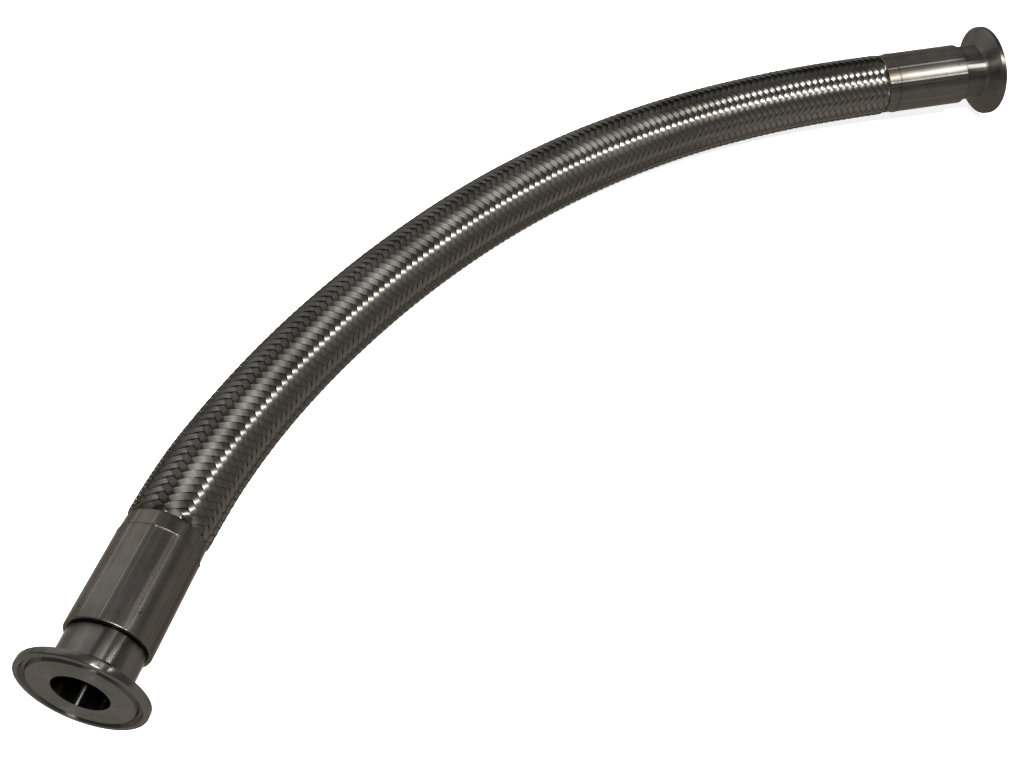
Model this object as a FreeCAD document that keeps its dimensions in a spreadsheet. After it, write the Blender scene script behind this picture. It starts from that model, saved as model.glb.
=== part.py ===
import FreeCAD, Part
import Sketcher
import math
import os

# Braided stainless steel hose with a sanitary clamp ferrule crimped on each end. It lies on the
# ground in a flat bow: both flange rims and the outside of the bend touch, so the plane of the
# bow leans a few degrees. All sizes are in millimetres and degrees.

doc = FreeCAD.newDocument("braided_hose")
sizes = doc.addObject("Spreadsheet::Sheet", "sizes")

driving = [
    # ferrule: gasket face, rim and neck
    ("bore_d", 22.1),
    ("flange_d", 50.5),
    ("rim_thickness", 2.85),
    ("rim_bevel", 0.4),
    ("back_angle", 20.0),
    ("gasket_land", 3.5),
    ("gasket_groove_width", 2.8),
    ("gasket_groove_depth", 1.4),
    ("neck_d", 30.6),
    ("neck_bevel", 0.9),
    ("neck_length", 19.2),
    # ferrule: groove that the sleeve's lip is pressed into, and the tail inside the hose
    ("lock_groove_depth", 0.9),
    ("lock_groove_reveal", 0.6),
    ("collar_length", 3.0),
    ("tail_wall", 0.95),
    ("tail_ring_depth", 0.6),
    ("tail_ring_pitch", 7.3),
    ("tail_rings", 4),
    ("tail_bevel", 0.7),
    # sleeve
    ("sleeve_length", 47.5),
    ("sleeve_wall", 1.4),
    ("lip_length", 2.2),
    ("lip_gap", 0.1),
    ("lip_round", 0.6),
    ("dies", 10),
    ("near_die_turn", 25.5),
    ("far_die_turn", 4.5),
    ("ridge_width", 1.8),
    ("ridge_height", 0.35),
    ("band_length", 6.5),
    ("band_step", 0.3),
    ("band_taper", 0.5),
    # hose
    ("hose_d", 34.0),
    ("hose_bore_d", 25.4),
    ("braid_thickness", 0.95),
    ("braid_pressed", 1.0),
    ("braid_gripped", 0.8),
    ("mouth_cone", 2.5),
]
for row, (name, value) in enumerate(driving, start=1):
    sizes.set("A%d" % row, name)
    sizes.set("B%d" % row, str(value))
    sizes.setAlias("B%d" % row, name)
doc.recompute()


def size(name):
    return float(getattr(sizes, name))


# The route of the hose in the plane of the bow, from one sleeve's mouth to the other's. X runs
# along the chord between the two gasket faces, and Y is how far the hose bows away from it.
route = [
    (54.8, 38.1),
    (71.6, 49.8),
    (97.5, 62.6),
    (131.8, 76.2),
    (170.3, 87.3),
    (217.5, 96.2),
    (273.3, 100.4),
    (333.2, 96.8),
    (391.9, 84.6),
    (442.8, 66.1),
    (482.8, 46.9),
    (507.0, 33.1),
]
# The share of the shorter run beside a point that the bend there takes on each side.
BEND_SHARE = 0.45
ALONG = FreeCAD.Vector(1, 0, 0)
UP = FreeCAD.Vector(0, 0, 1)


def hosePath():
    """The route as straight runs joined by tangent arcs, and the radius of each arc."""
    points = [FreeCAD.Vector(x, y, 0) for x, y in route]
    edges = []
    radii = []
    start = points[0]
    for before, corner, after in zip(points, points[1:], points[2:]):
        back = before - corner
        ahead = after - corner
        reach = BEND_SHARE * min(back.Length, ahead.Length)
        half_turn = (math.pi - back.getAngle(ahead)) / 2
        radius = reach / math.tan(half_turn)
        back.normalize()
        ahead.normalize()
        middle = back + ahead
        middle.normalize()
        near = corner + back * reach
        far = corner + ahead * reach
        top = corner + middle * (radius / math.cos(half_turn) - radius)
        edges.append(Part.LineSegment(start, near).toShape())
        edges.append(Part.Arc(near, top, far).toShape())
        radii.append(radius)
        start = far
    edges.append(Part.LineSegment(start, points[-1]).toShape())
    return Part.Wire(edges), radii


def endPlacement(mouth, inner):
    """Puts a fitting made along +X from its gasket face so that it ends at the mouth."""
    mouth = FreeCAD.Vector(mouth[0], mouth[1], 0)
    inward = FreeCAD.Vector(inner[0], inner[1], 0) - mouth
    inward.normalize()
    face = mouth - inward * (size("neck_length") + size("sleeve_length"))
    turn = math.degrees(math.atan2(inward.y, inward.x))
    return FreeCAD.Placement(face, FreeCAD.Rotation(UP, turn))


def profile(sketch, outline):
    """Draws a closed outline. Each corner is a pair of expressions: along the axis and radius."""
    values = [[sketch.evalExpression(text) for text in corner] for corner in outline]
    corners = [FreeCAD.Vector(float(along), float(radius), 0) for along, radius in values]
    count = len(outline)
    for index in range(count):
        sketch.addGeometry(Part.LineSegment(corners[index], corners[(index + 1) % count]), False)
    for index in range(count):
        sketch.addConstraint(Sketcher.Constraint("Coincident", index, 2, (index + 1) % count, 1))
    for index, corner in enumerate(outline):
        fixes = zip(("DistanceX", "DistanceY"), (-2, -1), corner, corners[index])
        for kind, axis, text, value in fixes:
            if text == "0":
                sketch.addConstraint(Sketcher.Constraint("PointOnObject", index, 1, axis))
                continue
            number = sketch.addConstraint(Sketcher.Constraint(kind, -1, 1, index, 1, value))
            sketch.setExpression("Constraints[%d]" % number, text)


def newSketch(body, name):
    sketch = body.newObject("Sketcher::SketchObject", name)
    plane = [part for part in body.Origin.OriginFeatures if part.Role == "XY_Plane"]
    sketch.AttachmentSupport = [(plane[0], "")]
    sketch.MapMode = "FlatFace"
    doc.recompute()
    return sketch


def turned(body, kind, name, sketch, angle="360"):
    """A Revolution or a Groove of the sketch about the fitting's axis."""
    feature = body.newObject(kind, name)
    feature.Profile = sketch
    feature.ReferenceAxis = (sketch, ["H_Axis"])
    feature.setExpression("Angle", angle)
    doc.recompute()
    return feature


def makeFerrule(label):
    """One turned piece: clamp flange, neck, groove for the sleeve's lip, and ringed tail."""
    body = doc.addObject("PartDesign::Body", label)
    body.Label = label
    bore = "sizes.bore_d / 2"
    rim = "sizes.flange_d / 2"
    neck = "sizes.neck_d / 2"
    floor = "sizes.neck_d / 2 - sizes.lock_groove_depth"
    root = "sizes.bore_d / 2 + sizes.tail_wall"
    tip = root + " + sizes.tail_ring_depth"
    groove = "sizes.flange_d / 2 - sizes.gasket_land"
    slope = "tan(sizes.back_angle * 1 deg)"
    back = "sizes.rim_thickness + (sizes.flange_d - sizes.neck_d) / 2 * " + slope
    collar = "sizes.neck_length + sizes.lip_length"
    tail = collar + " + sizes.collar_length"
    outline = [
        ("0", bore),
        # the groove that centres the gasket on the face
        ("0", groove + " - sizes.gasket_groove_width / 2"),
        ("sizes.gasket_groove_depth", groove + " - sizes.gasket_groove_width / 5"),
        ("sizes.gasket_groove_depth", groove + " + sizes.gasket_groove_width / 5"),
        ("0", groove + " + sizes.gasket_groove_width / 2"),
        ("0", rim + " - sizes.rim_bevel"),
        ("sizes.rim_bevel", rim),
        ("sizes.rim_thickness - sizes.rim_bevel / 2", rim),
        ("sizes.rim_thickness", rim + " - sizes.rim_bevel / 2"),
        (back + " - sizes.neck_bevel * " + slope, neck + " + sizes.neck_bevel"),
        (back + " + sizes.neck_bevel", neck),
        ("sizes.neck_length - sizes.lock_groove_reveal", neck),
        ("sizes.neck_length - sizes.lock_groove_reveal", floor),
        (collar, floor),
        (collar, neck),
        (tail, neck),
        (tail, root),
    ]
    # Each ring has a steep side towards the flange and a ramp that the hose was pushed over.
    rings = int(size("tail_rings"))
    for ring in range(rings):
        start = "%s + %g * sizes.tail_ring_pitch" % (tail, ring + 0.5)
        end = "%s + %g * sizes.tail_ring_pitch" % (tail, ring + 1.5)
        outline += [(start, root), (start, tip)]
    outline += [
        (end, root),
        (end + " + sizes.tail_bevel", root + " - sizes.tail_bevel"),
        (end + " + sizes.tail_bevel", bore),
    ]
    sketch = newSketch(body, label + "_profile")
    profile(sketch, outline)
    turned(body, "PartDesign::Revolution", label + "_turning", sketch)
    return body


def makeSleeve(label):
    """A drawn tube with a turned-in lip, pressed onto the hose by a ring of dies."""
    body = doc.addObject("PartDesign::Body", label)
    body.Label = label
    lip = "sizes.neck_d / 2 - sizes.lock_groove_depth + sizes.lip_gap"
    inside = "sizes.neck_d / 2"
    land = "sizes.neck_d / 2 + sizes.sleeve_wall"
    ridge = land + " + sizes.ridge_height"
    start = "sizes.neck_length"
    mouth = "sizes.neck_length + sizes.sleeve_length"
    band = mouth + " - sizes.band_length"
    step = " - sizes.band_step"
    taper = " - sizes.band_step - sizes.band_taper"
    sketch = newSketch(body, label + "_profile")
    profile(sketch, [
        (start, lip),
        # the round of the drawn lip, as two bevels
        (start, ridge + " - sizes.lip_round"),
        (start + " + sizes.lip_round * 0.293", ridge + " - sizes.lip_round * 0.293"),
        (start + " + sizes.lip_round", ridge),
        (band, ridge),
        (band + " + sizes.band_step", ridge + step),
        (mouth, ridge + taper),
        (mouth, inside),
        (start + " + sizes.lip_length", inside),
        (start + " + sizes.lip_length", lip),
    ])
    tube = turned(body, "PartDesign::Revolution", label + "_tube", sketch)

    # One die presses the tube back to its land between two ridges, band and all.
    sketch = newSketch(body, label + "_die_profile")
    clear = ridge + " + 1"
    profile(sketch, [
        (start + " - 1", clear),
        (start + " - 1", land),
        (band, land),
        (band + " + sizes.band_step", land + step),
        (mouth, land + taper),
        (mouth + " + 1", land + taper),
        (mouth + " + 1", clear),
    ])
    press = "360 / sizes.dies - sizes.ridge_width / (%s) * 180 / pi" % ridge
    die = turned(body, "PartDesign::Groove", label + "_die", sketch, press)
    before = tube.Shape.Volume
    pattern = body.newObject("PartDesign::PolarPattern", label + "_dies")
    pattern.Originals = [die]
    pattern.Axis = (sketch, ["H_Axis"])
    pattern.Angle = 360
    pattern.setExpression("Occurrences", "sizes.dies")
    body.Tip = pattern
    doc.recompute()
    if not pattern.Shape.Volume < die.Shape.Volume < before:
        raise ValueError(label + ": the dies press nothing")
    return body


def taper(start, end, length, place, direction):
    """A round bar whose radius goes from start to end."""
    if abs(start - end) < 1e-6:
        return Part.makeCylinder(start, length, place, direction)
    return Part.makeCone(start, end, length, place, direction)


def solidAlong(path, free, mouth, deep, buried):
    """A round bar on the path: straight inside each sleeve, a short cone at its mouth, then free."""
    cone = size("mouth_cone")
    first = path.Edges[0]
    last = path.Edges[-1]
    ends = [
        (first.valueAt(first.FirstParameter), first.tangentAt(first.FirstParameter)),
        (last.valueAt(last.LastParameter), last.tangentAt(last.LastParameter) * -1),
    ]
    pieces = []
    for place, inward in ends:
        pieces.append(taper(mouth, deep, buried, place, inward * -1))
        pieces.append(taper(mouth, free, cone, place, inward))
    edges = [edge.copy() for edge in path.Edges]
    edges[0] = Part.makeLine(ends[0][0] + ends[0][1] * cone, first.valueAt(first.LastParameter))
    edges[-1] = Part.makeLine(last.valueAt(last.FirstParameter), ends[1][0] + ends[1][1] * cone)
    free_path = Part.Wire(edges)
    section = Part.Wire(Part.makeCircle(free, ends[0][0] + ends[0][1] * cone, ends[0][1]))
    run = free_path.makePipeShell([section], True, True)
    expected = math.pi * free * free * free_path.Length
    print("radius %.2f: volume %.0f, section times length %.0f" % (free, run.Volume, expected))
    if abs(run.Volume - expected) > 0.002 * expected:
        raise ValueError("a tube is not as long as its path")
    return pieces[0].multiFuse(pieces[1:] + [run])


def makeTube(label, path, outside, inside, buried):
    """A tube on the path. Each wall is its radius in the free hose, at a mouth and deep inside."""
    tube = doc.addObject("Part::Feature", label)
    tube.Label = label
    bar = solidAlong(path, *outside, buried)
    tube.Shape = bar.cut(solidAlong(path, *inside, buried)).Solids[0]
    return tube


path, radii = hosePath()
free_length = path.Length
overall = free_length + 2 * (size("neck_length") + size("sleeve_length"))
print("bend radii: " + " ".join("%.0f" % radius for radius in radii))
print("free hose %.1f, face to face along the centreline %.1f" % (free_length, overall))

# The hose reaches back inside each sleeve to the ferrule's collar. The braid fills the sleeve, and
# the corrugated tube under it is pressed onto the tips of the tail's rings.
buried_length = size("sleeve_length") - size("lip_length") - size("collar_length")
hose_r = size("hose_d") / 2
tube_r = hose_r - size("braid_thickness")
sleeve_r = size("neck_d") / 2
tip_r = size("bore_d") / 2 + size("tail_wall") + size("tail_ring_depth")
braid_outside = (hose_r, sleeve_r, sleeve_r)
braid_inside = (tube_r, sleeve_r - size("braid_pressed"), sleeve_r - size("braid_gripped"))
tube_inside = (size("hose_bore_d") / 2, tip_r, tip_r)
wire_braid = makeTube("wire_braid", path, braid_outside, braid_inside, buried_length)
inner_hose = makeTube("inner_hose", path, braid_inside, tube_inside, buried_length)
ends = {
    "near": endPlacement(route[0], route[1]),
    "far": endPlacement(route[-1], route[-2]),
}
fittings = []
for end, place in ends.items():
    fittings.append((makeFerrule(end + "_ferrule"), place))
    # The dies of the two presses did not line up, so each sleeve's ridges are turned by themselves.
    turn = FreeCAD.Placement(FreeCAD.Vector(), FreeCAD.Rotation(ALONG, size(end + "_die_turn")))
    fittings.append((makeSleeve(end + "_sleeve"), place * turn))
hose = [(wire_braid, FreeCAD.Placement()), (inner_hose, FreeCAD.Placement())]

# Rest: the bow leans until the outside of its bend is down beside the two rims.
bow = max(vertex.Y for vertex in path.Vertexes)
rim_r = size("flange_d") / 2
lean = math.degrees(math.asin((rim_r - hose_r) / bow))
rest = FreeCAD.Placement(FreeCAD.Vector(), FreeCAD.Rotation(ALONG, -lean))
for piece, place in fittings + hose:
    piece.Placement = rest * place
doc.recompute()

# The origin is on the ground, in the middle of the box round the four fittings.
boxes = [piece.Shape.optimalBoundingBox() for piece, place in fittings]
middle_x = (min(box.XMin for box in boxes) + max(box.XMax for box in boxes)) / 2
middle_y = (min(box.YMin for box in boxes) + max(box.YMax for box in boxes)) / 2
ground = min(box.ZMin for box in boxes)
stand = FreeCAD.Placement(FreeCAD.Vector(-middle_x, -middle_y, -ground), FreeCAD.Rotation())
for piece, place in fittings + hose:
    piece.Placement = stand * rest * place
doc.recompute()
print("lean %.3f degrees, origin at %.3f %.3f %.3f" % (lean, middle_x, middle_y, ground))

for part in doc.Objects:
    if "Invalid" in part.State or "Error" in part.State:
        raise ValueError(part.Name + " failed: " + ", ".join(part.State))
pieces = [piece for piece, place in fittings + hose]
for piece in pieces:
    shape = piece.Shape
    if shape.isNull() or not shape.isValid() or len(shape.Solids) != 1:
        raise ValueError(piece.Label + " is not one valid solid")
os.makedirs("parts", exist_ok=True)
for piece in pieces:
    piece.Shape.exportStep("parts/%s.step" % piece.Label)
    print("%s: %.0f cubic millimetres" % (piece.Label, piece.Shape.Volume))
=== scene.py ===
import math
import bpy
from mathutils import Matrix, Vector


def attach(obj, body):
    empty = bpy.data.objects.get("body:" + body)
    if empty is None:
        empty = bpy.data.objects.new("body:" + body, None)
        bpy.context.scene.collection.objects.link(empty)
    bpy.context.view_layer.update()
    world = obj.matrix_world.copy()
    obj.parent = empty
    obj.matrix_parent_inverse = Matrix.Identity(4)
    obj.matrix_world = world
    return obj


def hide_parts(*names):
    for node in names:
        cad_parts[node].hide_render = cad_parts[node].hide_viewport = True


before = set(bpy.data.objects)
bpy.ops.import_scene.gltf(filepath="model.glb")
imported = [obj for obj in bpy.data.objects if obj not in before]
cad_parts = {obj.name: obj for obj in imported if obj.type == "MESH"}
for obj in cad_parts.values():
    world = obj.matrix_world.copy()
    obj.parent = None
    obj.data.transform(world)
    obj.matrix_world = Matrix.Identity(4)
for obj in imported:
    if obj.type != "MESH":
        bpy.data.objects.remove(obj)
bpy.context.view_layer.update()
scene = bpy.context.scene

# Camera: it stands over the near end and looks down along the bow.
cameraView = {
    "place": (-0.3035, -0.2490, 0.4537),
    "heading": 43.589,  # degrees from +X
    "down": 44.99,
    "roll": -5.036,
    "lens": 43.22,
    "shiftX": -0.0533,
    "shiftY": -0.1502,
}


def makeCamera(values):
    heading = math.radians(values["heading"])
    down = math.radians(values["down"])
    roll = math.radians(values["roll"])
    forward = Vector((
        math.cos(down) * math.cos(heading),
        math.cos(down) * math.sin(heading),
        -math.sin(down),
    ))
    level = Vector((math.sin(heading), -math.cos(heading), 0))
    below = forward.cross(level)
    right = level * math.cos(roll) + below * math.sin(roll)
    lower = below * math.cos(roll) - level * math.sin(roll)
    data = bpy.data.cameras.new("photoCamera")
    data.sensor_width = 36
    data.lens = values["lens"]
    data.shift_x = values["shiftX"]
    data.shift_y = values["shiftY"]
    data.clip_start = 0.01
    data.clip_end = 20
    camera = bpy.data.objects.new("photoCamera", data)
    turn = Matrix((right, -lower, -forward)).transposed().to_4x4()
    camera.matrix_world = Matrix.Translation(values["place"]) @ turn
    scene.collection.objects.link(camera)
    scene.camera = camera


makeCamera(cameraView)
print("camera ready")

# Hose route: the same points as the part's, in metres, in the plane of the bow. The plane leans
# about X, and its zero is on the gasket face of the near ferrule.
hoseRoute = {
    "points": [
        (0.0548, 0.0381),
        (0.0716, 0.0498),
        (0.0975, 0.0626),
        (0.1318, 0.0762),
        (0.1703, 0.0873),
        (0.2175, 0.0962),
        (0.2733, 0.1004),
        (0.3332, 0.0968),
        (0.3919, 0.0846),
        (0.4428, 0.0661),
        (0.4828, 0.0469),
        (0.5070, 0.0331),
    ],
    "lean": 4.786,
    "zero": (-0.281558, -0.014667, 0.025346),
    "length": 0.476,
    "diameter": 0.034,
}
lean = math.radians(hoseRoute["lean"])
inBow = Vector((0, math.cos(lean), -math.sin(lean)))
bowNormal = Vector((0, math.sin(lean), math.cos(lean)))


def onBow(x, y):
    return Vector(hoseRoute["zero"]) + Vector((x, 0, 0)) + inBow * y


routePoints = [onBow(x, y) for x, y in hoseRoute["points"]]


# The NURBS line of the hose, read as a plain mesh of points and edges
def makeHoseLine():
    data = bpy.data.curves.new("hoseLine", "CURVE")
    data.dimensions = "3D"
    data.resolution_u = 24
    spline = data.splines.new("NURBS")
    spline.points.add(len(routePoints) - 1)
    for point, place in zip(spline.points, routePoints):
        point.co = (*place, 1)
    spline.order_u = 3
    spline.use_endpoint_u = True
    holder = bpy.data.objects.new("hoseLine", data)
    scene.collection.objects.link(holder)
    bpy.context.view_layer.update()
    ready = holder.evaluated_get(bpy.context.evaluated_depsgraph_get())
    line = bpy.data.meshes.new_from_object(ready)
    bpy.data.objects.remove(holder)
    return line


hoseLine = makeHoseLine()
linePoints = [vertex.co.copy() for vertex in hoseLine.vertices]
lineLength = sum((b - a).length for a, b in zip(linePoints, linePoints[1:]))
print("hose line: %d points, %.4f m" % (len(linePoints), lineLength))


# Small helpers for node trees
def place(tree, kind, **settings):
    node = tree.nodes.new(kind)
    for name, value in settings.items():
        setattr(node, name, value)
    return node


def feed(tree, socket, value):
    if isinstance(value, bpy.types.NodeSocket):
        tree.links.new(value, socket)
    elif value is not None:
        socket.default_value = value


def calc(tree, operation, *values):
    node = place(tree, "ShaderNodeMath", operation=operation)
    for socket, value in zip(node.inputs, values):
        feed(tree, socket, value)
    return node.outputs[0]


def vector(tree, operation, *values):
    node = place(tree, "ShaderNodeVectorMath", operation=operation)
    for socket, value in zip(node.inputs, values):
        feed(tree, socket, value)
    return node.outputs["Value" if operation == "LENGTH" else "Vector"]


def scaled(tree, value, factor):
    node = place(tree, "ShaderNodeVectorMath", operation="SCALE")
    feed(tree, node.inputs[0], value)
    feed(tree, node.inputs["Scale"], factor)
    return node.outputs["Vector"]


def combined(tree, x, y, z=0.0):
    node = place(tree, "ShaderNodeCombineXYZ")
    for socket, value in zip(node.inputs, (x, y, z)):
        feed(tree, socket, value)
    return node.outputs[0]


def split(tree, value):
    node = place(tree, "ShaderNodeSeparateXYZ")
    feed(tree, node.inputs[0], value)
    return node.outputs


# A Geometry Nodes tree with a Geometry input and output and these named inputs
def newTree(name, inputs):
    tree = bpy.data.node_groups.new(name, "GeometryNodeTree")
    tree.interface.new_socket("Geometry", in_out="INPUT", socket_type="NodeSocketGeometry")
    for label, kind in inputs:
        tree.interface.new_socket(label, in_out="INPUT", socket_type="NodeSocket" + kind)
    tree.interface.new_socket("Geometry", in_out="OUTPUT", socket_type="NodeSocketGeometry")
    entry = place(tree, "NodeGroupInput")
    leave = place(tree, "NodeGroupOutput")
    return tree, entry.outputs, leave.inputs["Geometry"]


# Runs the tree on a base mesh with these inputs and keeps the result as a plain mesh
def madeMesh(name, base, tree, values, more=()):
    piece = bpy.data.objects.new(name, base.copy())
    scene.collection.objects.link(piece)
    nodesOn = piece.modifiers.new("nodes", "NODES")
    nodesOn.node_group = tree
    for socket in tree.interface.items_tree:
        if socket.in_out == "INPUT" and socket.name in values:
            nodesOn[socket.identifier] = values[socket.name]
    for kind, settings in more:
        extra = piece.modifiers.new(kind.lower(), kind)
        for key, value in settings.items():
            setattr(extra, key, value)
    bpy.context.view_layer.update()
    ready = piece.evaluated_get(bpy.context.evaluated_depsgraph_get())
    mesh = bpy.data.meshes.new_from_object(ready)
    mesh.name = name
    piece.modifiers.clear()
    old = piece.data
    piece.data = mesh
    bpy.data.meshes.remove(old)
    return piece


# Where a length along the hose lies: a point and the direction there, straight on past both ends
def pathFrame(tree, line, along):
    toCurve = place(tree, "GeometryNodeMeshToCurve")
    feed(tree, toCurve.inputs["Mesh"], line)
    curve = toCurve.outputs[0]
    size = place(tree, "GeometryNodeCurveLength")
    feed(tree, size.inputs[0], curve)
    total = size.outputs[0]
    inside = calc(tree, "MINIMUM", calc(tree, "MAXIMUM", along, 0.0), total)
    sample = place(tree, "GeometryNodeSampleCurve", mode="LENGTH")
    feed(tree, sample.inputs["Curves"], curve)
    feed(tree, sample.inputs["Length"], inside)
    past = calc(tree, "SUBTRACT", along, inside)
    tangent = sample.outputs["Tangent"]
    point = vector(tree, "ADD", sample.outputs["Position"], scaled(tree, tangent, past))
    return point, tangent, total


# A point at this radius and angle round the hose: angle 0 is its right side, 90 degrees its top
def aroundHose(tree, point, tangent, normal, radius, angle):
    side = vector(tree, "NORMALIZE", vector(tree, "CROSS_PRODUCT", tangent, normal))
    outward = vector(
        tree, "ADD",
        scaled(tree, side, calc(tree, "COSINE", angle)),
        scaled(tree, normal, calc(tree, "SINE", angle)),
    )
    return vector(tree, "ADD", point, scaled(tree, outward, radius))


def smoothStep(tree, value, low, high):
    node = place(tree, "ShaderNodeMapRange", interpolation_type="SMOOTHSTEP")
    feed(tree, node.inputs["Value"], value)
    feed(tree, node.inputs["From Min"], low)
    feed(tree, node.inputs["From Max"], high)
    return node.outputs["Result"]


def mixed(tree, factor, low, high):
    return calc(tree, "ADD", low, calc(tree, "MULTIPLY", factor, calc(tree, "SUBTRACT", high, low)))


# Shader groups that several finishes share
def newGroup(name, inputs, outputs):
    group = bpy.data.node_groups.new(name, "ShaderNodeTree")
    for label, kind, value in inputs:
        socket = group.interface.new_socket(label, in_out="INPUT", socket_type="NodeSocket" + kind)
        socket.default_value = value
    for label, kind in outputs:
        group.interface.new_socket(label, in_out="OUTPUT", socket_type="NodeSocket" + kind)
    return group, place(group, "NodeGroupInput").outputs, place(group, "NodeGroupOutput").inputs


def noise(tree, coords, scale, detail=3.0, rough=0.55):
    node = place(tree, "ShaderNodeTexNoise")
    feed(tree, node.inputs["Vector"], coords)
    feed(tree, node.inputs["Scale"], scale)
    feed(tree, node.inputs["Detail"], detail)
    feed(tree, node.inputs["Roughness"], rough)
    return node.outputs["Fac"]


def mapRange(tree, value, fromLow, fromHigh, toLow, toHigh):
    node = place(tree, "ShaderNodeMapRange")
    feed(tree, node.inputs["Value"], value)
    feed(tree, node.inputs["From Min"], fromLow)
    feed(tree, node.inputs["From Max"], fromHigh)
    feed(tree, node.inputs["To Min"], toLow)
    feed(tree, node.inputs["To Max"], toHigh)
    return node.outputs["Result"]


def mixColor(tree, factor, first, second):
    node = place(tree, "ShaderNodeMix", data_type="RGBA")
    feed(tree, node.inputs["Factor"], factor)
    feed(tree, node.inputs[6], first)
    feed(tree, node.inputs[7], second)
    return node.outputs[2]


# Handled stainless steel: clouds of two tones, brown stains, fine streaks along X, dark specks
def makeSteelGroup():
    group, given, out = newGroup(
        "handledSteel",
        [
            ("Coordinates", "Vector", (0, 0, 0)),
            ("Light Tone", "Color", (0.1, 0.1, 0.1, 1)),
            ("Dark Tone", "Color", (0.05, 0.05, 0.05, 1)),
            ("Stain", "Color", (0.05, 0.04, 0.03, 1)),
            ("Cloud Scale", "Float", 60.0),
            ("Stain Amount", "Float", 0.4),
            ("Streak Amount", "Float", 0.5),
            ("Streak Scale", "Float", 700.0),
            ("Roughness", "Float", 0.3),
            ("Roughness Spread", "Float", 0.1),
        ],
        [("Color", "Color"), ("Roughness", "Float"), ("Streaks", "Float")],
    )
    coords = given["Coordinates"]
    drawn = vector(group, "MULTIPLY", coords, (0.05, 1.0, 1.0))
    clouds = mapRange(group, noise(group, coords, given["Cloud Scale"], 4.0, 0.6), 0.35, 0.65, 0.0, 1.0)
    streaks = mapRange(group, noise(group, drawn, given["Streak Scale"], 3.0, 0.6), 0.34, 0.66, 0.0, 1.0)
    marks = mixed(group, given["Streak Amount"], clouds, streaks)
    tone = mixColor(group, marks, given["Dark Tone"], given["Light Tone"])
    patches = noise(group, coords, calc(group, "MULTIPLY", given["Cloud Scale"], 0.45), 2.0, 0.5)
    stained = calc(group, "MULTIPLY", mapRange(group, patches, 0.46, 0.64, 0.0, 1.0), given["Stain Amount"])
    tone = mixColor(group, stained, tone, given["Stain"])
    speckNoise = noise(group, coords, calc(group, "MULTIPLY", given["Cloud Scale"], 9.0), 1.0, 0.4)
    specks = mapRange(group, speckNoise, 0.72, 0.79, 0.0, 0.6)
    feed(group, out["Color"], mixColor(group, specks, tone, (0.012, 0.011, 0.009, 1)))
    coarser = noise(group, drawn, calc(group, "MULTIPLY", given["Streak Scale"], 0.6))
    spread = mapRange(group, coarser, 0.3, 0.7, -0.5, 0.5)
    uneven = calc(group, "MULTIPLY", spread, given["Roughness Spread"])
    feed(group, out["Roughness"], calc(group, "ADD", given["Roughness"], uneven))
    feed(group, out["Streaks"], streaks)
    return group


handledSteel = makeSteelGroup()


# Painted shade: the lower side of a piece is painted browner and duller, standing for the dark surroundings
# it reflects there: 0 where Height is low, 1 where it is high
def makeLowShadeGroup():
    group, given, out = newGroup(
        "lowSideShade",
        [
            ("Color", "Color", (0.1, 0.1, 0.1, 1)),
            ("Low Tone", "Color", (0.04, 0.035, 0.025, 1)),
            ("Height", "Float", 0.0),
            ("From", "Float", 0.0),
            ("To", "Float", 1.0),
            ("Coordinates", "Vector", (0, 0, 0)),
        ],
        [("Color", "Color"), ("Height", "Float")],
    )
    ragged = mapRange(group, noise(group, given["Coordinates"], 120.0, 3.0), 0.3, 0.7, -0.12, 0.12)
    step = place(group, "ShaderNodeMapRange", interpolation_type="SMOOTHSTEP")
    feed(group, step.inputs["Value"], given["Height"])
    feed(group, step.inputs["From Min"], given["From"])
    feed(group, step.inputs["From Max"], given["To"])
    high = calc(group, "ADD", step.outputs["Result"], ragged)
    limit = place(group, "ShaderNodeClamp")
    feed(group, limit.inputs["Value"], high)
    feed(group, out["Color"], mixColor(group, limit.outputs[0], given["Low Tone"], given["Color"]))
    feed(group, out["Height"], limit.outputs[0])
    return group


lowSideShade = makeLowShadeGroup()
edgeTint = (0.35, 0.34, 0.32, 1)  # how the steel darkens where it is seen along its surface


def newMaterial(name):
    material = bpy.data.materials.new(name)
    material.use_nodes = True
    tree = material.node_tree
    tree.nodes.clear()
    shader = place(tree, "ShaderNodeBsdfPrincipled")
    out = place(tree, "ShaderNodeOutputMaterial")
    tree.links.new(shader.outputs[0], out.inputs["Surface"])
    return material, tree, shader


def newSteel(name, edge=edgeTint):
    material, tree, shader = newMaterial(name)
    shader.inputs["Metallic"].default_value = 1.0
    shader.inputs["Specular Tint"].default_value = edge
    return material, tree, shader


def useGroup(tree, group, **values):
    node = place(tree, "ShaderNodeGroup", node_tree=group)
    for label, value in values.items():
        feed(tree, node.inputs[label.replace("_", " ")], value)
    return node.outputs


def bump(tree, shader, height, distance, strength=1.0):
    node = place(tree, "ShaderNodeBump")
    feed(tree, node.inputs["Height"], height)
    feed(tree, node.inputs["Distance"], distance)
    feed(tree, node.inputs["Strength"], strength)
    tree.links.new(node.outputs[0], shader.inputs["Normal"])


def ownValue(tree, name):
    return place(tree, "ShaderNodeAttribute", attribute_name=name).outputs["Fac"]


braidFinish = {
    "light": (0.183, 0.175, 0.158, 1),
    "dark": (0.116, 0.111, 0.099, 1),
    "stain": (0.085, 0.070, 0.056, 1),
    "lowTone": (0.140, 0.127, 0.107, 1),
    "shadeRange": (0.45, 0.85),  # height round the hose, from full painted shade to none: 0 is its side, 1 its top
    "edge": (0.045, 0.041, 0.036, 1),  # painted shade along the hose's outline
    "edgeFacing": (0.62, 0.78),  # how far the hose turns away from view where the painted shade starts and is full
    # painted shade: the near-black tone between the wires, where a ribbon passes under, and on the darkened
    # right-hand wires
    "shadeTone": (0.008, 0.007, 0.005, 1),
    "roughness": 0.38,
    "anisotropy": 0.95,
    "wires": 7,
    "wireHeight": 0.00003,
    "rightHandShade": 0.5,  # painted shade: how far the right-hand wires are darkened on the outside of the bow
    "scuffed": 0.43,  # roughness added to the left-hand wires, towards the near end
}


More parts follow.
